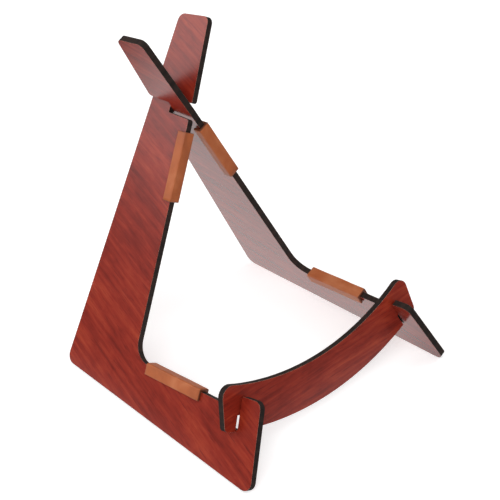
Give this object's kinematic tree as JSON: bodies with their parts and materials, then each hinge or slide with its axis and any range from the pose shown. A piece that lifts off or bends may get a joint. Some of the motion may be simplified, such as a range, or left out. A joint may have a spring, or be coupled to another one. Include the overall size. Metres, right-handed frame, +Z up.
{
  "type": "wooden instrument stand",
  "caption": "Flat-pack tabletop stand: crossed L-shaped side boards half-lapped together, joined at the front by a curved crossbar, with folded leather pads where an instrument rests.",
  "frame": {"origin": "on the floor, below the middle of the bounding box", "axes": "+Z up, the front with the crossbar is -Y, +X is the right side seen from the front"},
  "size_m": [0.2648, 0.2544, 0.3134],
  "materials": {
    "left_side_board": "clear gloss lacquer over red-brown veneer, charred laser-cut edges",
    "right_side_board": "clear gloss lacquer over red-brown veneer, charred laser-cut edges",
    "front_crossbar": "clear gloss lacquer over red-brown veneer, charred laser-cut edges",
    "left_upright_pad": "smooth matt tan",
    "right_upright_pad": "smooth matt tan",
    "left_foot_pad": "smooth matt tan",
    "right_foot_pad": "smooth matt tan"
  },
  "bodies": {
    "side_boards": {"left_side_board": "left_side_board", "right_side_board": "right_side_board", "left_upright_pad": "left_upright_pad", "right_upright_pad": "right_upright_pad", "left_foot_pad": "left_foot_pad", "right_foot_pad": "right_foot_pad"},
    "crossbar": {"front_crossbar": "front_crossbar"}
  },
  "joints": [
    {"name": "crossbar_lift", "type": "slide", "parent": "side_boards", "child": "crossbar", "axis": [0, 0.2706, 0.9627], "range_m": [0, 0.06]}
  ]
}
